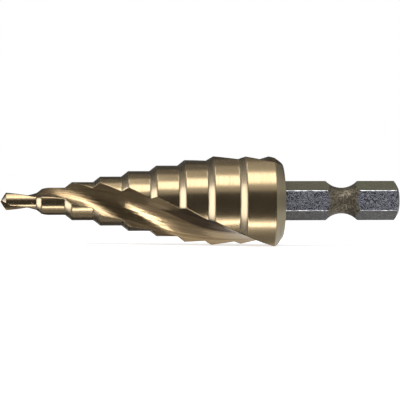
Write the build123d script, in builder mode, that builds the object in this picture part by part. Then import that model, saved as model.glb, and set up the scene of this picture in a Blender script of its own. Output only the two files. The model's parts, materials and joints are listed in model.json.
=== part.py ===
"""Step drill: a stepped, spiral-fluted drill on a quarter-inch hex shank, lying at rest."""
import os
from math import atan2, cos, degrees, log, radians, sin, sqrt, tan

from build123d import *

os.makedirs("parts", exist_ok=True)

# ---------------------------------------------------------------- driving sizes
# Cutting diameters, and lengths along the drill's axis counted from the point.
PILOT_DIAMETER = 3.5
POINT_ANGLE = 118.0
PILOT_LENGTH = 6.55
FIRST_STEP_DIAMETER = 5.0
STEP_GROWTH = 2.0
STEP_COUNT = 8
STEP_PITCH = 5.14
STEP_BEFORE_LAST = 5.7
LAST_STEP_LENGTH = 6.5
RAMP_ANGLE = 38.0
SHOULDER_LENGTH = 1.9
SHOULDER_ANGLE = 54.5

# Hex shank for quick-change holders, with its ball-detent groove.
HEX_ACROSS_FLATS = 6.35
HEX_CORNER_BEVEL = 0.08
SHANK_LENGTH = 21.5
SHANK_END_CHAMFER = 0.65
SHANK_END_ANGLE = 60.0
DETENT_TO_END = 10.4
DETENT_DIAMETER = 4.74
DETENT_RADIUS = 4.1

# Flutes: right-hand spirals whose lead grows with the cone.
FLUTE_COUNT = 2
FLUTE_WIDTH_ANGLE = 81.5
HEEL_FACE_ANGLE = 40.0
RAKE_LEAN_ANGLE = 22.0
FLOOR_RADIUS_RATIO = 0.95
SPIRAL_START_ANGLE = -25.5
SPIRAL_RATE = 160.0
SPIRAL_OFFSET = 2.2
PILOT_FLUTE_RATIO = 0.78
FLUTE_STATION_GAP = 3.0
FLUTE_OVERSHOOT = 2.2

# Scoop ground into the heel face of each flute, from the fourth step to the shoulder.
SCOOP_START = 22.5
SCOOP_RUN_IN = 8.0
SCOOP_DEPTH_RATIO = 0.035
SCOOP_RADIUS_RATIO = 0.8
SCOOP_SEAT_RATIO = 0.61
SCOOP_SPAN_ANGLE = 100.0

# Split point: a gash beside each lip that thins the web.
GASH_WEB = 0.12
GASH_DEPTH = 0.45
GASH_SLOPE_ANGLE = 35.0
GASH_OPENING_ANGLE = 100.0
GASH_REACH = 3.0

# How far the drill is turned about its axis as it lies.
REST_TURN_ANGLE = 0.0

# ---------------------------------------------------------------- derived sizes
pilot_radius = PILOT_DIAMETER / 2
point_height = pilot_radius / tan(radians(POINT_ANGLE / 2))
step_radii = [
    (FIRST_STEP_DIAMETER + STEP_GROWTH * index) / 2 for index in range(STEP_COUNT)
]
ramp_starts = [PILOT_LENGTH + STEP_PITCH * index for index in range(STEP_COUNT - 1)]
ramp_starts.append(ramp_starts[-1] + STEP_BEFORE_LAST)
shoulder_start = ramp_starts[-1] + LAST_STEP_LENGTH
step_ends = ramp_starts[1:] + [shoulder_start]
body_end = shoulder_start + SHOULDER_LENGTH
shoulder_radius = step_radii[-1] - SHOULDER_LENGTH * tan(radians(SHOULDER_ANGLE))
overall_length = body_end + SHANK_LENGTH
first_corner = PILOT_LENGTH + (step_radii[0] - pilot_radius) / tan(radians(RAMP_ANGLE))
cone_slope = STEP_GROWTH / 2 / STEP_PITCH
shank_corner_radius = HEX_ACROSS_FLATS / sqrt(3)
shank_end_cut = SHANK_END_CHAMFER * tan(radians(SHANK_END_ANGLE))

# The drill's axis lies along X with its point at the origin.
side_plane = Plane(origin=(0, 0, 0), x_dir=(1, 0, 0), z_dir=(0, -1, 0))


def section_plane(distance, turn=0):
    """Plane across the drill's axis, turned about it, at a distance from the point."""
    outward = (0, -cos(radians(turn)), -sin(radians(turn)))
    return Plane(origin=(distance, 0, 0), x_dir=outward, z_dir=(1, 0, 0))


def ramp_end(index):
    """Distance from the point at which ramp number index reaches its step."""
    inner = pilot_radius if index == 0 else step_radii[index - 1]
    return ramp_starts[index] + (step_radii[index] - inner) / tan(radians(RAMP_ANGLE))


def cone_radius(distance):
    """Radius of the cone that touches the front corners of the steps."""
    return step_radii[0] + cone_slope * (distance - first_corner)


def flute_radius(distance):
    """Radius that the flute section is scaled to at a distance from the point."""
    if distance <= PILOT_LENGTH:
        return pilot_radius * PILOT_FLUTE_RATIO
    return cone_radius(distance)


def cutting_angle(distance):
    """Angle of the cutting edge about the axis at a distance from the point."""
    growth = (cone_radius(distance) + SPIRAL_OFFSET) / (step_radii[0] + SPIRAL_OFFSET)
    return SPIRAL_START_ANGLE + SPIRAL_RATE * log(growth)


def polar(radius, angle):
    """Point of a cross-section from its radius and angle."""
    return Vector(radius * cos(radians(angle)), radius * sin(radians(angle)))


def crossing(start, direction, other_start, other_direction):
    """Point where two lines of a cross-section meet."""
    gap = other_start - start
    turn = direction.X * other_direction.Y - direction.Y * other_direction.X
    along = (gap.X * other_direction.Y - gap.Y * other_direction.X) / turn
    return start + direction * along


# Flute section for a cutting edge at radius 1 and angle 0.
rake_edge = polar(1, 0)
heel_edge = polar(1, -FLUTE_WIDTH_ANGLE)
rake_inward = polar(1, 180 + RAKE_LEAN_ANGLE)
heel_inward = polar(1, 180 - FLUTE_WIDTH_ANGLE - HEEL_FACE_ANGLE)
heel_normal = polar(1, 90 - FLUTE_WIDTH_ANGLE - HEEL_FACE_ANGLE)
flute_knee = crossing(heel_edge, heel_inward, rake_edge, rake_inward)
heel_outer = heel_edge - heel_inward * FLUTE_OVERSHOOT
rake_outer = rake_edge - rake_inward * FLUTE_OVERSHOOT
heel_outward_angle = 90 - FLUTE_WIDTH_ANGLE - HEEL_FACE_ANGLE
scoop_outer_spoke = polar(SCOOP_RADIUS_RATIO, 180 + heel_outward_angle + SCOOP_SPAN_ANGLE / 2)
scoop_inner_spoke = polar(SCOOP_RADIUS_RATIO, 180 + heel_outward_angle - SCOOP_SPAN_ANGLE / 2)
flute_turns = [360 / FLUTE_COUNT * index for index in range(FLUTE_COUNT)]

with BuildPart() as upright_drill:
    # Turned blank: point, pilot, ramps and steps, and the chamfered shoulder.
    with BuildSketch(side_plane):
        with BuildLine():
            outline = [(0, 0), (point_height, pilot_radius), (PILOT_LENGTH, pilot_radius)]
            for index in range(STEP_COUNT):
                outline.append((ramp_end(index), step_radii[index]))
                outline.append((step_ends[index], step_radii[index]))
            outline.append((body_end, shoulder_radius))
            outline.append((body_end, 0))
            Polyline(*outline, close=True)
        make_face()
    revolve(axis=Axis.X)

    # Flutes, through cross-sections that turn and grow with the cone.
    station_count = round(body_end / FLUTE_STATION_GAP) + 3
    for flute_turn in flute_turns:
        for station in range(station_count):
            distance = FLUTE_STATION_GAP * (station - 1)
            size = flute_radius(distance)
            turn = flute_turn + cutting_angle(max(distance, 0))
            with BuildSketch(section_plane(distance, turn)):
                with BuildLine():
                    FilletPolyline(
                        heel_outer * size,
                        flute_knee * size,
                        rake_outer * size,
                        radius=FLOOR_RADIUS_RATIO * size,
                    )
                    Line(rake_outer * size, heel_outer * size)
                make_face()
        loft(mode=Mode.SUBTRACT)

    # Scoops in the heel faces, which deepen from nothing.
    scoop_count = round((body_end - SCOOP_START) / FLUTE_STATION_GAP) + 3
    for flute_turn in flute_turns:
        for station in range(scoop_count):
            distance = SCOOP_START + FLUTE_STATION_GAP * (station - 1)
            size = flute_radius(distance)
            turn = flute_turn + cutting_angle(distance)
            share = min(1, (distance - SCOOP_START) / SCOOP_RUN_IN)
            rise = SCOOP_RADIUS_RATIO - SCOOP_DEPTH_RATIO * share
            centre = heel_edge + heel_inward * SCOOP_SEAT_RATIO + heel_normal * rise
            rim_outer = centre + scoop_outer_spoke
            rim_inner = centre + scoop_inner_spoke
            deepest = centre - heel_normal * SCOOP_RADIUS_RATIO
            with BuildSketch(section_plane(distance, turn)):
                with BuildLine():
                    ThreePointArc(rim_outer * size, deepest * size, rim_inner * size)
                    Polyline(rim_inner * size, centre * size, rim_outer * size)
                make_face()
        loft(mode=Mode.SUBTRACT)

    # Gashes of the split point.
    for flute_turn in flute_turns:
        lip = section_plane(GASH_DEPTH, flute_turn + cutting_angle(0))
        valley = lip.z_dir * cos(radians(GASH_SLOPE_ANGLE))
        valley += lip.x_dir * sin(radians(GASH_SLOPE_ANGLE))
        corner = lip.origin - lip.y_dir * GASH_WEB
        with BuildSketch(Plane(origin=corner, x_dir=-lip.y_dir, z_dir=valley)):
            with BuildLine():
                Polyline(
                    (0, 0),
                    (0, GASH_REACH),
                    (GASH_REACH, GASH_REACH),
                    polar(GASH_REACH, 90 - GASH_OPENING_ANGLE),
                    close=True,
                )
            make_face()
        extrude(amount=GASH_REACH, both=True, mode=Mode.SUBTRACT)

    # Hex shank, with a flat on the turn that faces -Y.
    with BuildSketch(section_plane(body_end)) as shank_section:
        RegularPolygon(radius=HEX_ACROSS_FLATS / 2, side_count=6, major_radius=False, rotation=30)
        chamfer(shank_section.vertices(), length=HEX_CORNER_BEVEL)
    extrude(amount=SHANK_LENGTH)

    # Ball-detent groove, turned with one round-nosed pass.
    with BuildSketch(side_plane):
        with Locations((overall_length - DETENT_TO_END, DETENT_DIAMETER / 2 + DETENT_RADIUS)):
            Circle(DETENT_RADIUS)
    revolve(axis=Axis.X, mode=Mode.SUBTRACT)

    # Turned chamfer on the shank's end.
    with BuildSketch(side_plane):
        with BuildLine():
            Polyline(
                (overall_length - SHANK_END_CHAMFER, shank_corner_radius),
                (overall_length, shank_corner_radius - shank_end_cut),
                (overall_length, shank_corner_radius),
                close=True,
            )
        make_face()
    revolve(axis=Axis.X, mode=Mode.SUBTRACT)

# The drill lies with its flutes turned as REST_TURN_ANGLE says. It touches the ground at two
# corners, one on each side of its balance point, and its point dips a little.
upright = upright_drill.part.rotate(Axis.X, REST_TURN_ANGLE)
balance = upright.center(CenterOf.MASS).X
corners = upright.vertices()
supports = [
    (front, back) for front in corners for back in corners if front.X < balance < back.X
]


def dip_of(support):
    """Angle between the ground and the drill's axis on a pair of corners."""
    front, back = support
    return degrees(atan2(front.Z - back.Z, back.X - front.X))


def height_under_balance(support):
    """Height at the balance point of the line between a pair of corners."""
    front, back = support
    share = (balance - front.X) / (back.X - front.X)
    return front.Z + (back.Z - front.Z) * share


lying = upright.rotate(Axis.Y, -dip_of(min(supports, key=height_under_balance)))
lying_box = lying.bounding_box()

with BuildPart() as step_drill:
    with Locations((-lying_box.center().X, -lying_box.center().Y, -lying_box.min.Z)):
        add(lying)

step_drill.part.label = "step_drill"
export_step(step_drill.part, "parts/step_drill.step")
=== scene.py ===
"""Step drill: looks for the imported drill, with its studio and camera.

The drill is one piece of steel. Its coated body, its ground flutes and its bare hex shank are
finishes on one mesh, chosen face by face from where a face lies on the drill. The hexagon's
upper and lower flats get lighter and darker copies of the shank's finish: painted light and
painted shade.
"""

import json
import logging
import math
from dataclasses import dataclass
from enum import Enum

import bmesh
import bpy
from mathutils import Matrix, Vector

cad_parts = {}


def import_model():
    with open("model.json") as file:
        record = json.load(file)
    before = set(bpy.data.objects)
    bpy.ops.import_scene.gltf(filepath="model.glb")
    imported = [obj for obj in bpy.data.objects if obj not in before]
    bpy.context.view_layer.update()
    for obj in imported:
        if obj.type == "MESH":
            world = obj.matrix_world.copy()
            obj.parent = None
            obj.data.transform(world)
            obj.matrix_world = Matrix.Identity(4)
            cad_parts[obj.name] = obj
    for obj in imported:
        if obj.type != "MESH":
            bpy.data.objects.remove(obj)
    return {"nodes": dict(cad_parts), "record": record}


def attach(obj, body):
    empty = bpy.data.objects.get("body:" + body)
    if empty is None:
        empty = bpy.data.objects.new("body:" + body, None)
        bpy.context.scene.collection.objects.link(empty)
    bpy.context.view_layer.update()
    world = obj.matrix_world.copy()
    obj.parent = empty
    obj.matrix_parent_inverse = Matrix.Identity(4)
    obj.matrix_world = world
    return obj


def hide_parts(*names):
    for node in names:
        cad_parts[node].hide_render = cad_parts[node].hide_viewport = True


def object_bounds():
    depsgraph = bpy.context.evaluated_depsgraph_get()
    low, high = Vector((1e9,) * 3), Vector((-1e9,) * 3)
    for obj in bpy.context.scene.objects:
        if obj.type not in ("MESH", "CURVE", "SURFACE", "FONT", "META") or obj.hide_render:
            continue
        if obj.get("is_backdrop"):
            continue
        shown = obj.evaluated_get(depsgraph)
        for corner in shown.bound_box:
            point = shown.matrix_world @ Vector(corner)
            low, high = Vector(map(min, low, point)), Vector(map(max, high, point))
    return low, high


LOG = logging.getLogger("step_drill")
MM = 0.001

Colour = tuple[float, float, float, float]

WHITE: Colour = (1.0, 1.0, 1.0, 1.0)


class Surface(Enum):
    """Finishes on the drill, in the order of its material slots."""

    LAND = 0
    RAMP = 1
    FLUTE = 2
    POINT = 3
    SHOULDER = 4
    HEX_SIDE = 5
    HEX_UPPER = 6
    HEX_LOWER = 7
    HEX_EDGE = 8
    GROOVE = 9
    SHANK_END = 10


# --------------------------------------------------------------------------- node helpers


@dataclass
class Nodes:
    """A node tree being filled, with short ways to add and join nodes."""

    tree: bpy.types.NodeTree

    def add(self, kind: str, **settings: object) -> bpy.types.Node:
        """Adds a node.

        Args:
            kind: The node's class, without its ShaderNode prefix.
            settings: Attributes set on the new node.

        Returns:
            The new node.
        """
        node = self.tree.nodes.new("ShaderNode" + kind)
        for name, value in settings.items():
            setattr(node, name, value)
        return node

    def join(self, source: bpy.types.NodeSocket, target: bpy.types.NodeSocket) -> None:
        """Links an output socket to an input socket."""
        self.tree.links.new(source, target)

    def feed(self, node: bpy.types.Node, slot: int | str, value: object) -> None:
        """Sets an input to a constant, or links it to an output socket.

        Args:
            node: The node that has the input.
            slot: The input's number or name.
            value: A constant, or the socket to link.
        """
        if isinstance(value, bpy.types.NodeSocket):
            self.join(value, node.inputs[slot])
        else:
            node.inputs[slot].default_value = value

    def maths(self, operation: str, *values: object) -> bpy.types.NodeSocket:
        """Adds a Math node.

        Args:
            operation: The node's operation.
            values: Constants or sockets for its inputs, in order.

        Returns:
            The node's output.
        """
        node = self.add("Math", operation=operation)
        for number, value in enumerate(values):
            self.feed(node, number, value)
        return node.outputs[0]

    def noise(
        self, vector: object, scale: object, detail: float, roughness: float
    ) -> bpy.types.NodeSocket:
        """Adds a Noise Texture.

        Args:
            vector: Where it is read.
            scale: How fine it is.
            detail: How many finer layers it has.
            roughness: How strong those layers are.

        Returns:
            The texture's value.
        """
        node = self.add("TexNoise", noise_dimensions="3D")
        settings = {"Vector": vector, "Scale": scale, "Detail": detail, "Roughness": roughness}
        for slot, value in settings.items():
            self.feed(node, slot, value)
        return node.outputs["Fac"]

    def spread(
        self, value: object, span: tuple[float, float], result: tuple[float, float]
    ) -> bpy.types.NodeSocket:
        """Adds a smooth Map Range.

        Args:
            value: The value to map.
            span: The values that become the two ends of the result.
            result: The result at the span's first end and before, and at its last and after.

        Returns:
            The mapped value.
        """
        node = self.add("MapRange", interpolation_type="SMOOTHSTEP")
        for number, part in enumerate((value, *span, *result)):
            self.feed(node, number, part)
        return node.outputs[0]

    def blend(self, share: object, first: object, second: object) -> bpy.types.NodeSocket:
        """Adds a colour Mix.

        Args:
            share: How much of the second colour there is.
            first: A colour or a colour socket.
            second: A colour or a colour socket.

        Returns:
            The mixed colour.
        """
        node = self.add("Mix", data_type="RGBA")
        factor, colour_a, colour_b, colour_result = 0, 6, 7, 2
        self.feed(node, factor, share)
        self.feed(node, colour_a, first)
        self.feed(node, colour_b, second)
        return node.outputs[colour_result]

    def bump(self, height: bpy.types.NodeSocket, depth: float) -> bpy.types.Node:
        """Adds a Bump node.

        Args:
            height: The marks.
            depth: How deep they are, in millimetres.

        Returns:
            The node.
        """
        node = self.add("Bump")
        node.inputs["Strength"].default_value = 1.0
        node.inputs["Distance"].default_value = depth * MM
        self.join(height, node.inputs["Height"])
        return node

    def background_rays(self) -> bpy.types.NodeSocket:
        """Adds a mask of the rays that show the background.

        Returns:
            A value of 1 for camera, glossy and transmission rays, and of 0 for others.
        """
        path = self.add("LightPath")
        shown = self.maths("MAXIMUM", path.outputs["Is Camera Ray"], path.outputs["Is Glossy Ray"])
        return self.maths("MAXIMUM", shown, path.outputs["Is Transmission Ray"])


def new_group(
    name: str, inputs: dict[str, tuple[str, object]], outputs: dict[str, str]
) -> tuple[bpy.types.NodeTree, Nodes, bpy.types.Node, bpy.types.Node]:
    """Starts a shader node group.

    Args:
        name: The group's name.
        inputs: Name of each input, with its socket type and its default, or None.
        outputs: Name of each output, with its socket type.

    Returns:
        The group's tree, a helper for it, its input node and its output node.
    """
    tree = bpy.data.node_groups.new(name, "ShaderNodeTree")
    for label, (kind, default) in inputs.items():
        socket = tree.interface.new_socket(
            name=label, in_out="INPUT", socket_type="NodeSocket" + kind
        )
        if default is not None:
            socket.default_value = default
    for label, kind in outputs.items():
        tree.interface.new_socket(name=label, in_out="OUTPUT", socket_type="NodeSocket" + kind)
    entry = tree.nodes.new("NodeGroupInput")
    leave = tree.nodes.new("NodeGroupOutput")
    return tree, Nodes(tree), entry, leave


def new_material(name: str) -> tuple[bpy.types.Material, Nodes, bpy.types.Node]:
    """Starts a material.

    Args:
        name: The material's name.

    Returns:
        The material, a helper for its node tree and its Principled BSDF.
    """
    material = bpy.data.materials.new(name)
    material.use_nodes = True
    tree = material.node_tree
    return material, Nodes(tree), tree.nodes["Principled BSDF"]


def new_object(
    name: str, shape: bmesh.types.BMesh, material: bpy.types.Material
) -> bpy.types.Object:
    """Makes an object of a bmesh, which it frees, and puts it in the scene.

    Args:
        name: The object's and its mesh's name.
        shape: The bmesh.
        material: Its one material.

    Returns:
        The object.
    """
    mesh = bpy.data.meshes.new(name)
    shape.to_mesh(mesh)
    shape.free()
    mesh.materials.append(material)
    item = bpy.data.objects.new(name, mesh)
    bpy.context.scene.collection.objects.link(item)
    return item


# --------------------------------------------------------------------------- the drill's axis


@dataclass(frozen=True)
class DrillAxis:
    """The drill's axis in the row's frame, counted in metres from the point."""

    point: Vector
    along: Vector

    @property
    def lean(self) -> float:
        """Angle by which the axis rises towards the shank, in radians."""
        return math.asin(self.along.z)

    def place(self, position: Vector) -> tuple[float, float]:
        """Finds where a position lies on the drill.

        Args:
            position: A point in the row's frame.

        Returns:
            Distance from the point along the axis, and distance from the axis.
        """
        gap = position - self.point
        distance = gap.dot(self.along)
        return distance, (gap - self.along * distance).length

    @staticmethod
    def of(record: dict, lowest: Vector) -> "DrillAxis":
        """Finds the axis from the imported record.

        Args:
            record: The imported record, with its mount at the end of the shank.
            lowest: The object's lowest corner, whose X is where the drill begins.

        Returns:
            The axis.
        """
        mount = next(m for m in record["mounts"] if m["name"] == "shank_end")
        end, along = Vector(mount["pos_m"]), Vector(mount["axis"]).normalized()
        length = (end.x - lowest.x) / along.x
        return DrillAxis(end - along * length, along)


# --------------------------------------------------------------------------- shared groups


def drill_coordinates(axis: DrillAxis) -> bpy.types.NodeTree:
    """Builds the group that gives positions on the drill, in millimetres from its point.

    Args:
        axis: The drill's axis.

    Returns:
        A group with the outputs Straight, a position whose X runs along the drill's axis,
        and Along, that X alone.
    """
    tree, nodes, _, leave = new_group(
        "drill_coordinates", {}, {"Straight": "Vector", "Along": "Float"}
    )
    coordinates = nodes.add("TexCoord")
    mapping = nodes.add("Mapping", vector_type="TEXTURE")
    mapping.inputs["Location"].default_value = axis.point
    mapping.inputs["Rotation"].default_value = (0.0, -axis.lean, 0.0)
    mapping.inputs["Scale"].default_value = (MM, MM, MM)
    nodes.join(coordinates.outputs["Object"], mapping.inputs["Vector"])
    nodes.join(mapping.outputs["Vector"], leave.inputs["Straight"])
    split = nodes.add("SeparateXYZ")
    nodes.join(mapping.outputs["Vector"], split.inputs["Vector"])
    nodes.join(split.outputs["X"], leave.inputs["Along"])
    return tree


@dataclass(frozen=True)
class SpiralLaw:
    """How the flutes turn with distance from the point, in millimetres and degrees.

    The cone has the first step's radius at first_corner, widens by slope for each
    millimetre, and is never taken as narrower than least_radius.
    """

    start_angle: float = -25.5
    rate: float = 160.0
    offset: float = 2.2
    first_radius: float = 2.5
    first_corner: float = 7.51
    slope: float = 1 / 5.14
    least_radius: float = 0.5

    def build(self, coordinates: bpy.types.NodeTree) -> bpy.types.NodeTree:
        """Builds the group that unrolls the spiral, so that a flute runs straight.

        Args:
            coordinates: The group that gives positions on the drill.

        Returns:
            A group with the output Unrolled: position along the drill, and across it in
            the flute's own turned cross-section, scaled by the cone's radius.
        """
        tree, nodes, _, leave = new_group("unrolled_flute", {}, {"Unrolled": "Vector"})
        place = nodes.add("Group", node_tree=coordinates)
        along = place.outputs["Along"]
        past_corner = nodes.maths("SUBTRACT", along, self.first_corner)
        cone = nodes.maths("MULTIPLY_ADD", past_corner, self.slope, self.first_radius)
        cone = nodes.maths("MAXIMUM", cone, self.least_radius)
        widened = nodes.maths("ADD", cone, self.offset)
        growth = nodes.maths("DIVIDE", widened, self.first_radius + self.offset)
        turned = nodes.maths("LOGARITHM", growth, math.e)
        angle = nodes.maths(
            "MULTIPLY_ADD", turned, math.radians(self.rate), math.radians(self.start_angle)
        )
        rotate = nodes.add("VectorRotate", rotation_type="X_AXIS")
        nodes.join(place.outputs["Straight"], rotate.inputs["Vector"])
        nodes.join(nodes.maths("MULTIPLY", angle, -1.0), rotate.inputs["Angle"])
        split = nodes.add("SeparateXYZ")
        nodes.join(rotate.outputs["Vector"], split.inputs["Vector"])
        unrolled = nodes.add("CombineXYZ")
        nodes.join(along, unrolled.inputs["X"])
        for side in ("Y", "Z"):
            nodes.join(nodes.maths("DIVIDE", split.outputs[side], cone), unrolled.inputs[side])
        nodes.join(unrolled.outputs["Vector"], leave.inputs["Unrolled"])
        return tree


def grinding_lines() -> bpy.types.NodeTree:
    """Builds the group for fine grinding lines.

    Returns:
        A group that reads a Vector squeezed by Squeeze, and gives a Value of lines.
    """
    inputs = {
        "Vector": ("Vector", None),
        "Squeeze": ("Vector", (1.0, 1.0, 1.0)),
        "Fineness": ("Float", 1.0),
    }
    tree, nodes, entry, leave = new_group("grinding_lines", inputs, {"Value": "Float"})
    squeezed = nodes.add("VectorMath", operation="MULTIPLY")
    nodes.join(entry.outputs["Vector"], squeezed.inputs[0])
    nodes.join(entry.outputs["Squeeze"], squeezed.inputs[1])
    lines = nodes.noise(
        squeezed.outputs["Vector"], entry.outputs["Fineness"], detail=4.0, roughness=0.6
    )
    nodes.join(lines, leave.inputs["Value"])
    return tree


@dataclass(frozen=True)
class MetalGroups:
    """The shared node groups of the drill's finishes."""

    coordinates: bpy.types.NodeTree
    unrolled: bpy.types.NodeTree
    lines: bpy.types.NodeTree


# --------------------------------------------------------------------------- finishes

# How grinding lines are squeezed along and across the drill.
ROUND_THE_DRILL = (1.0, 0.02, 0.02)
ROUND_THE_SHOULDER = (1.0, 0.05, 0.05)
DOWN_THE_FLUTE = (0.05, 10.0, 10.0)
UNSQUEEZED = (1.0, 1.0, 1.0)


@dataclass(frozen=True)
class GroundMetal:
    """A metal finish with grinding lines. Depth and rounding are in millimetres.

    The lines follow the flutes if unrolled is set, and run round the drill if not. They
    turn colour_share of the colour to worn. Rounding softens how sharp edges shine.
    """

    name: str
    colour: Colour
    worn: Colour
    roughness: float
    roughness_swing: float
    squeeze: tuple[float, float, float]
    fineness: float
    depth: float
    unrolled: bool = False
    colour_share: float = 0.5
    rounding: float = 0.0
    rounding_samples: int = 8
    worn_span: tuple[float, float] = (0.35, 0.7)
    rough_span: tuple[float, float] = (0.3, 0.7)

    def build(self, groups: MetalGroups) -> bpy.types.Material:
        """Builds the material.

        Args:
            groups: The shared node groups.

        Returns:
            The material.
        """
        material, nodes, shader = new_material(self.name)
        shader.inputs["Metallic"].default_value = 1.0
        tree, output = (
            (groups.unrolled, "Unrolled") if self.unrolled else (groups.coordinates, "Straight")
        )
        source = nodes.add("Group", node_tree=tree)
        lines = nodes.add("Group", node_tree=groups.lines)
        nodes.join(source.outputs[output], lines.inputs["Vector"])
        lines.inputs["Squeeze"].default_value = self.squeeze
        lines.inputs["Fineness"].default_value = self.fineness
        value = lines.outputs["Value"]
        share = nodes.spread(value, self.worn_span, (0.0, self.colour_share))
        nodes.join(nodes.blend(share, self.colour, self.worn), shader.inputs["Base Color"])
        low, high = self.roughness - self.roughness_swing, self.roughness + self.roughness_swing
        rough = nodes.spread(value, self.rough_span, (low, high))
        nodes.join(rough, shader.inputs["Roughness"])
        bump = nodes.bump(value, self.depth)
        if self.rounding:
            edges = nodes.add("Bevel", samples=self.rounding_samples)
            edges.inputs["Radius"].default_value = self.rounding * MM
            nodes.join(edges.outputs["Normal"], bump.inputs["Normal"])
        nodes.join(bump.outputs["Normal"], shader.inputs["Normal"])
        return material


@dataclass(frozen=True)
class MottledSteel:
    """Bare hardened steel with a thin oxide skin, and worm-like marks of a depth in millimetres.

    The marks are bands of a broad noise, with a fine grain over them. Where they are strong
    the steel has its colour and is smoother, and elsewhere it has the patch colour.
    """

    name: str
    colour: Colour
    patch: Colour
    roughness: float
    metallic: float
    grain: float
    bands: float
    depth: float
    fine_ratio: float = 7.0
    band_height: float = 0.5
    band_weight: float = 1.5
    fine_weight: float = 0.5
    colour_span: tuple[float, float] = (0.45, 0.95)
    rough_span: tuple[float, float] = (0.3, 0.9)
    rougher: float = 0.10
    smoother: float = 0.06

    def build(self, groups: MetalGroups) -> bpy.types.Material:
        """Builds the material.

        Args:
            groups: The shared node groups.

        Returns:
            The material.
        """
        material, nodes, shader = new_material(self.name)
        shader.inputs["Metallic"].default_value = self.metallic
        source = nodes.add("Group", node_tree=groups.coordinates)
        place = source.outputs["Straight"]
        broad = nodes.noise(place, self.grain, detail=1.0, roughness=0.4)
        fine = nodes.noise(place, self.grain * self.fine_ratio, detail=2.0, roughness=0.6)
        banded = nodes.maths("MULTIPLY", broad, self.bands)
        worms = nodes.maths("PINGPONG", banded, self.band_height)
        specks = nodes.maths("MULTIPLY", fine, self.fine_weight)
        marks = nodes.maths("MULTIPLY_ADD", worms, self.band_weight, specks)
        share = nodes.spread(marks, self.colour_span, (0.0, 1.0))
        nodes.join(nodes.blend(share, self.patch, self.colour), shader.inputs["Base Color"])
        ends = (self.roughness + self.rougher, self.roughness - self.smoother)
        nodes.join(nodes.spread(marks, self.rough_span, ends), shader.inputs["Roughness"])
        bump = nodes.bump(marks, self.depth)
        nodes.join(bump.outputs["Normal"], shader.inputs["Normal"])
        return material


FINISHES: dict[Surface, GroundMetal | MottledSteel] = {
    Surface.LAND: GroundMetal(
        "coated_land",
        colour=(0.27, 0.205, 0.12, 1),
        worn=(0.22, 0.165, 0.093, 1),
        roughness=0.22,
        roughness_swing=0.04,
        squeeze=ROUND_THE_DRILL,
        fineness=9.0,
        depth=0.002,
        rounding=0.3,
    ),
    Surface.RAMP: GroundMetal(
        "coated_ramp",
        colour=(0.31, 0.25, 0.165, 1),
        worn=(0.27, 0.21, 0.135, 1),
        roughness=0.26,
        roughness_swing=0.04,
        squeeze=ROUND_THE_DRILL,
        fineness=9.0,
        depth=0.002,
        rounding=0.75,
    ),
    Surface.FLUTE: GroundMetal(
        "ground_flute",
        colour=(0.34, 0.25, 0.14, 1),
        worn=(0.19, 0.125, 0.065, 1),
        roughness=0.17,
        roughness_swing=0.05,
        squeeze=DOWN_THE_FLUTE,
        fineness=1.0,
        depth=0.05,
        unrolled=True,
        colour_share=0.9,
    ),
    Surface.POINT: GroundMetal(
        "ground_point",
        colour=(0.42, 0.35, 0.25, 1),
        worn=(0.32, 0.26, 0.18, 1),
        roughness=0.22,
        roughness_swing=0.06,
        squeeze=UNSQUEEZED,
        fineness=3.0,
        depth=0.004,
    ),
    Surface.SHOULDER: GroundMetal(
        "turned_shoulder",
        colour=(0.28, 0.24, 0.15, 1),
        worn=(0.24, 0.2, 0.125, 1),
        roughness=0.42,
        roughness_swing=0.05,
        squeeze=ROUND_THE_SHOULDER,
        fineness=5.0,
        depth=0.004,
    ),
    Surface.HEX_SIDE: MottledSteel(
        "blued_hex_side",
        colour=(0.31, 0.32, 0.375, 1),
        patch=(0.04, 0.038, 0.045, 1),
        roughness=0.42,
        metallic=0.5,
        grain=1.2,
        bands=7.0,
        depth=0.03,
    ),
    # Upper flats: the shank's oxide mottle, made lighter and straw-toned as painted light from
    # above.
    Surface.HEX_UPPER: MottledSteel(
        "hex_upper_mottle_and_painted_light",
        colour=(0.155, 0.15, 0.095, 1),
        patch=(0.125, 0.12, 0.08, 1),
        roughness=0.42,
        metallic=0.5,
        grain=0.8,
        bands=7.0,
        depth=0.005,
    ),
    # Lower flats: the shank's oxide mottle, made darker and greyer as painted shade on the
    # underside.
    Surface.HEX_LOWER: MottledSteel(
        "hex_lower_mottle_and_painted_shade",
        colour=(0.12, 0.116, 0.108, 1),
        patch=(0.075, 0.074, 0.072, 1),
        roughness=0.42,
        metallic=0.5,
        grain=0.8,
        bands=7.0,
        depth=0.01,
    ),
    Surface.HEX_EDGE: MottledSteel(
        "bright_hex_edge",
        colour=(0.42, 0.42, 0.43, 1),
        patch=(0.24, 0.24, 0.26, 1),
        roughness=0.36,
        metallic=1.0,
        grain=0.8,
        bands=3.0,
        depth=0.0,
    ),
    Surface.GROOVE: MottledSteel(
        "olive_groove",
        colour=(0.165, 0.14, 0.095, 1),
        patch=(0.065, 0.052, 0.036, 1),
        roughness=0.48,
        metallic=0.6,
        grain=0.9,
        bands=6.0,
        depth=0.02,
    ),
    Surface.SHANK_END: MottledSteel(
        "bare_shank_end",
        colour=(0.11, 0.105, 0.10, 1),
        patch=(0.07, 0.065, 0.062, 1),
        roughness=0.42,
        metallic=0.6,
        grain=0.9,
        bands=4.0,
        depth=0.01,
    ),
}


# --------------------------------------------------------------------------- the drill


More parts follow.
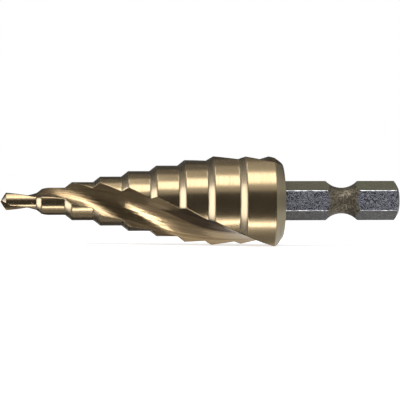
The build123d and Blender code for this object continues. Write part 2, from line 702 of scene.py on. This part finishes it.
@dataclass
class StepDrill:
    """The drill's one piece, dressed.

    Lengths are in millimetres, from the point, and angles in degrees. A face whose normal
    has a share of end_facing along the axis is square to it, and one with less than
    side_facing is a side of the hexagon. The groove stays inside groove_reach of the width
    across the flats, and before chamfer_start. A flat's normal is within flat_turn of a
    sixth of a turn, and it faces sideways if it rises by less than side_rise.
    """

    axis: DrillAxis
    pilot_radius: float = 1.75
    point_length: float = 1.06
    pilot_length: float = 6.55
    first_radius: float = 2.5
    step_growth: float = 1.0
    step_count: int = 8
    step_pitch: float = 5.14
    step_before_last: float = 5.7
    last_step_length: float = 6.5
    ramp_angle: float = 38.0
    shoulder_length: float = 1.9
    shoulder_angle: float = 54.5
    across_flats: float = 6.35
    chamfer_start: float = 71.0
    end_facing: float = 0.999
    side_facing: float = 0.02
    groove_reach: float = 0.57
    flat_turn: float = 12.0
    side_rise: float = 0.5
    shank_margin: float = 1.0
    crease_angle: float = 28.0
    tolerance: float = 0.06
    merge_distance: float = 0.001

    @property
    def shoulder_start(self) -> float:
        """Distance from the point to the shoulder chamfer."""
        return self.ramp_start(self.step_count - 1) + self.last_step_length

    @property
    def body_end(self) -> float:
        """Distance from the point to where the shank begins."""
        return self.shoulder_start + self.shoulder_length

    def ramp_start(self, index: int) -> float:
        """Distance from the point to the start of ramp number index."""
        last = index == self.step_count - 1
        return self.pilot_length + self.step_pitch * (index - last) + self.step_before_last * last

    def step_radius(self, index: int) -> float:
        """Radius of step number index, which is the pilot's for -1."""
        return self.pilot_radius if index < 0 else self.first_radius + self.step_growth * index

    def turned_surface(self, distance: float, radius: float) -> Surface | None:
        """Says which turned surface a position of the body lies on.

        Args:
            distance: Distance from the point.
            radius: Distance from the axis.

        Returns:
            The turned surface, or None if the position is inside the turned blank.
        """
        if distance > self.shoulder_start:
            drop = (distance - self.shoulder_start) * math.tan(math.radians(self.shoulder_angle))
            outer = self.step_radius(self.step_count - 1) - drop
            return Surface.SHOULDER if radius > outer - self.tolerance else None
        if distance < self.point_length:
            outer = self.pilot_radius * distance / self.point_length
            return Surface.POINT if radius > outer - self.tolerance else None
        index = -1
        while index + 1 < self.step_count and distance > self.ramp_start(index + 1):
            index += 1
        if index < 0:
            return Surface.LAND if radius > self.pilot_radius - self.tolerance else None
        climb = (distance - self.ramp_start(index)) * math.tan(math.radians(self.ramp_angle))
        outer = min(self.step_radius(index - 1) + climb, self.step_radius(index))
        if radius < outer - self.tolerance:
            return None
        on_ramp = outer < self.step_radius(index) - self.tolerance / 2
        return Surface.RAMP if on_ramp else Surface.LAND

    def surface_of(self, face: bmesh.types.BMFace) -> Surface:
        """Chooses the finish of a face.

        Args:
            face: A face of the drill's mesh.

        Returns:
            The surface that it lies on.
        """
        distance, radius = (part / MM for part in self.axis.place(face.calc_center_median()))
        facing = face.normal.dot(self.axis.along)
        if distance < self.body_end - self.tolerance:
            return self.turned_surface(distance, radius) or Surface.FLUTE
        if facing > self.end_facing:
            on_shank = distance > self.body_end + self.shank_margin
            return Surface.SHANK_END if on_shank else Surface.SHOULDER
        if abs(facing) > self.side_facing:
            inside = radius < self.across_flats * self.groove_reach
            in_groove = inside and distance < self.chamfer_start
            return Surface.GROOVE if in_groove else Surface.SHANK_END
        return self.hex_surface(face)

    def hex_surface(self, face: bmesh.types.BMFace) -> Surface:
        """Tells the flats of the hexagon from the narrow bevels at its corners.

        Args:
            face: A face of the hexagon's sides.

        Returns:
            The flat, by which way it faces, or the bevel.
        """
        sixth = 60.0
        across = face.normal - self.axis.along * face.normal.dot(self.axis.along)
        turn = math.degrees(math.atan2(across.z, across.y)) % sixth
        if min(turn, sixth - turn) > self.flat_turn:
            return Surface.HEX_EDGE
        # Flats facing up and down get lighter and darker finishes: painted light and painted shade
        # over the shank's own mottle.
        if abs(across.z) < self.side_rise:
            return Surface.HEX_SIDE
        return Surface.HEX_UPPER if across.z > 0 else Surface.HEX_LOWER

    def dress(self, mesh: bpy.types.Mesh) -> None:
        """Merges a mesh's corners, and sets its faces' finishes and its sharp edges.

        Args:
            mesh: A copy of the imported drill's mesh.
        """
        shape = bmesh.new()
        shape.from_mesh(mesh)
        bmesh.ops.remove_doubles(shape, verts=shape.verts, dist=self.merge_distance * MM)
        shape.normal_update()
        for face in shape.faces:
            face.material_index = self.surface_of(face).value
            face.smooth = True
        for edge in shape.edges:
            if len(edge.link_faces) == 2:
                edge.smooth = edge.calc_face_angle() < math.radians(self.crease_angle)
        shape.to_mesh(mesh)
        shape.free()
        for layer in [a for a in mesh.attributes if a.name == "custom_normal"]:
            mesh.attributes.remove(layer)

    def build(self, node: bpy.types.Object, groups: MetalGroups) -> bpy.types.Object:
        """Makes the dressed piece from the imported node.

        Args:
            node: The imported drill.
            groups: The shared node groups.

        Returns:
            The new piece.
        """
        mesh = node.data.copy()
        mesh.name = "step_drill_dressed"
        mesh.materials.clear()
        for surface in Surface:
            mesh.materials.append(FINISHES[surface].build(groups))
        self.dress(mesh)
        piece = bpy.data.objects.new("drill", mesh)
        bpy.context.scene.collection.objects.link(piece)
        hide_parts("step_drill")
        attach(piece, "root")
        LOG.info("drill: %d faces", len(mesh.polygons))
        return piece


# --------------------------------------------------------------------------- studio


@dataclass(frozen=True)
class Bearing:
    """Where a lamp or card stands, seen from the drill. Angles are in degrees, lengths in metres.

    Azimuth is counted from the camera's side towards the drill's point, and elevation from level.
    """

    azimuth: float
    elevation: float
    distance: float = 0.5

    def offset(self) -> Vector:
        """Finds where it stands.

        Returns:
            The vector from the drill to the lamp or card.
        """
        side, rise = math.radians(self.azimuth), math.radians(self.elevation)
        level = math.cos(rise)
        toward = Vector((-math.sin(side) * level, -math.cos(side) * level, math.sin(rise)))
        return self.distance * toward

    def facing(self) -> Matrix:
        """Finds how it is turned.

        Returns:
            The rotation that turns a face's +Z to the drill and keeps its X level.
        """
        back = -self.offset().normalized()
        right = Vector((0, 0, 1)).cross(back).normalized()
        return Matrix((right, back.cross(right), back)).transposed()


@dataclass(frozen=True)
class Softbox:
    """A rectangular studio lamp that faces the drill.

    Its power follows from its area, so that it looks as bright as its glow says.
    """

    name: str
    bearing: Bearing
    size: tuple[float, float]
    glow: float

    def build(self, aim: Vector) -> bpy.types.Object:
        """Builds the lamp.

        Args:
            aim: What it is turned to.

        Returns:
            The lamp.
        """
        lamp = bpy.data.lights.new(self.name, "AREA")
        lamp.shape = "RECTANGLE"
        lamp.size, lamp.size_y = self.size
        lamp.energy = self.glow * math.pi * self.size[0] * self.size[1]
        item = bpy.data.objects.new(self.name, lamp)
        item.location = aim + self.bearing.offset()
        turn = self.bearing.facing() @ Matrix.Rotation(math.pi, 3, "X")
        item.rotation_mode = "QUATERNION"
        item.rotation_quaternion = turn.to_quaternion()
        item.visible_camera = False
        bpy.context.scene.collection.objects.link(item)
        return item


@dataclass(frozen=True)
class Card:
    """A studio card that only shows in reflections, as bright as its shade.

    It is moved along X by shift, in metres, and turned in its own plane by roll, in degrees.
    """

    name: str
    bearing: Bearing
    size: tuple[float, float]
    shade: float
    shift: float = 0.0
    roll: float = 0.0

    def glowing(self) -> bpy.types.Material:
        """Makes a material that glows by itself and isn't sampled as a lamp.

        Returns:
            The material.
        """
        material, nodes, shader = new_material(self.name)
        material.cycles.emission_sampling = "NONE"
        nodes.tree.nodes.remove(shader)
        glow = nodes.add("Emission")
        glow.inputs["Strength"].default_value = self.shade
        output = nodes.tree.nodes["Material Output"]
        nodes.join(glow.outputs["Emission"], output.inputs["Surface"])
        return material

    def build(self, aim: Vector) -> bpy.types.Object:
        """Builds the card, turned to what it reflects in.

        Args:
            aim: What it is turned to.

        Returns:
            The card.
        """
        shape = bmesh.new()
        bmesh.ops.create_grid(shape, x_segments=1, y_segments=1, size=0.5)
        bmesh.ops.scale(shape, vec=(*self.size, 1), verts=shape.verts)
        turn = self.bearing.facing() @ Matrix.Rotation(math.radians(self.roll), 3, "Z")
        bmesh.ops.transform(shape, matrix=turn.to_4x4(), verts=shape.verts)
        place = aim + self.bearing.offset() + Vector((self.shift, 0, 0))
        bmesh.ops.translate(shape, vec=place, verts=shape.verts)
        card = new_object(self.name, shape, self.glowing())
        card.visible_camera = card.visible_diffuse = card.visible_shadow = False
        card.visible_transmission = card.visible_volume_scatter = False
        card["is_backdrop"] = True
        return card


@dataclass
class Studio:
    """Pale floor, white surroundings, a soft lamp and cards."""

    aim: Vector
    floor_size: float = 6.0
    floor_colour: Colour = (0.86, 0.86, 0.86, 1)
    floor_roughness: float = 0.9
    floor_gloss: float = 0.1
    floor_glow: float = 0.57
    ambient: float = 0.5
    softboxes: tuple[Softbox, ...] = (
        Softbox("softbox_top", Bearing(0, 52), (0.36, 0.23), glow=4.8),
    )
    cards: tuple[Card, ...] = (
        Card("card_front", Bearing(0, -9), (1.0, 0.61), shade=0.12),
        Card("card_side", Bearing(88, -2, 0.45), (0.50, 0.45), shade=4.7),
        Card("card_low", Bearing(0, -51, 0.47), (0.28, 0.075), shade=9.0, roll=17.0),
        Card("card_under", Bearing(0, -91), (0.80, 0.31), shade=0.5, shift=-0.25),
        Card("card_under_back", Bearing(0, -134), (0.80, 0.45), shade=0.10, shift=-0.36),
        Card("card_left", Bearing(36, 0, 0.46), (0.26, 1.0), shade=0.22),
        Card("card_low_left", Bearing(0, -61, 0.48), (0.50, 0.30), shade=0.22, shift=-0.41),
        Card("card_high_left", Bearing(0, 50, 0.48), (0.50, 0.52), shade=0.28, shift=-0.42),
        Card("card_right", Bearing(-30, -16, 0.46), (0.24, 0.46), shade=0.35),
        Card("card_high", Bearing(0, 78, 0.47), (0.12, 0.24), shade=4.5, shift=-0.09),
        Card("card_over", Bearing(0, 108), (1.4, 0.22), shade=0.38),
        Card("card_back", Bearing(0, 150), (1.4, 0.54), shade=0.14),
    )

    def build_floor(self) -> bpy.types.Object:
        """Builds the floor.

        Returns:
            The floor.
        """
        material, nodes, shader = new_material("pale_floor")
        shader.inputs["Base Color"].default_value = self.floor_colour
        shader.inputs["Roughness"].default_value = self.floor_roughness
        shader.inputs["Specular IOR Level"].default_value = self.floor_gloss
        shader.inputs["Emission Color"].default_value = WHITE
        glow = nodes.maths("MULTIPLY", nodes.background_rays(), self.floor_glow)
        nodes.join(glow, shader.inputs["Emission Strength"])
        shape = bmesh.new()
        bmesh.ops.create_grid(shape, x_segments=1, y_segments=1, size=self.floor_size / 2)
        floor = new_object("floor", shape, material)
        floor.visible_glossy = False
        floor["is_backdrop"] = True
        return floor

    def build_world(self) -> None:
        """Builds white surroundings that light the drill at the ambient level."""
        world = bpy.data.worlds.new("white_surroundings")
        world.use_nodes = True
        bpy.context.scene.world = world
        nodes = Nodes(world.node_tree)
        background = world.node_tree.nodes["Background"]
        background.inputs["Color"].default_value = WHITE
        strength = nodes.maths(
            "MULTIPLY_ADD", nodes.background_rays(), 1.0 - self.ambient, self.ambient
        )
        nodes.join(strength, background.inputs["Strength"])

    def build(self) -> None:
        """Builds the whole studio."""
        self.build_floor()
        self.build_world()
        for item in (*self.softboxes, *self.cards):
            item.build(self.aim)
        LOG.info("studio: %d lamps, %d cards", len(self.softboxes), len(self.cards))


@dataclass
class Viewpoint:
    """The camera. Distances are in metres, angles in degrees and lens sizes in millimetres.

    It looks at a place along the drill's axis, moved by two offsets in pixels.
    """

    axis: DrillAxis
    along: float = 0.0365
    distance: float = 0.300
    swing: float = 4.2
    axis_rise: float = 0.15
    focal: float = 147.1
    sensor: float = 36.0
    clip: tuple[float, float] = (0.01, 20.0)
    right_offset: float = -0.4
    down_offset: float = 0.95
    pixels_per_mm: float = 5.45

    def build(self) -> bpy.types.Object:
        """Builds the camera.

        Returns:
            The camera.
        """
        data = bpy.data.cameras.new("camera")
        data.lens = self.focal
        data.sensor_width = self.sensor
        data.clip_start, data.clip_end = self.clip
        item = bpy.data.objects.new("camera", data)
        bpy.context.scene.collection.objects.link(item)
        bpy.context.scene.camera = item
        swing = math.radians(self.swing)
        forward = Vector((math.sin(swing), math.cos(swing), 0.0))
        level = Vector((math.cos(swing), -math.sin(swing), 0.0))
        roll = self.axis.lean - math.radians(self.axis_rise)
        right = level * math.cos(roll) + Vector((0, 0, 1)) * math.sin(roll)
        up = right.cross(forward)
        target = self.axis.point + self.axis.along * self.along
        target += right * (self.right_offset * MM / self.pixels_per_mm)
        target += up * (self.down_offset * MM / self.pixels_per_mm)
        item.location = target - forward * self.distance
        turn = Matrix((right, up, -forward)).transposed()
        item.rotation_mode = "QUATERNION"
        item.rotation_quaternion = turn.to_quaternion()
        LOG.info("camera: %.1f mm lens", self.focal)
        return item


def main() -> None:
    """Builds the drill, the studio and the camera."""
    logging.basicConfig(level=logging.INFO, format="%(name)s: %(message)s")
    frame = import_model()
    cad_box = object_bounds()
    bpy.context.scene.view_settings.view_transform = "Standard"
    axis = DrillAxis.of(frame["record"], cad_box[0])
    coordinates = drill_coordinates(axis)
    groups = MetalGroups(coordinates, SpiralLaw().build(coordinates), grinding_lines())
    StepDrill(axis).build(frame["nodes"]["step_drill"], groups)
    Studio((cad_box[0] + cad_box[1]) / 2).build()
    Viewpoint(axis).build()


if __name__ == "__main__":
    main()
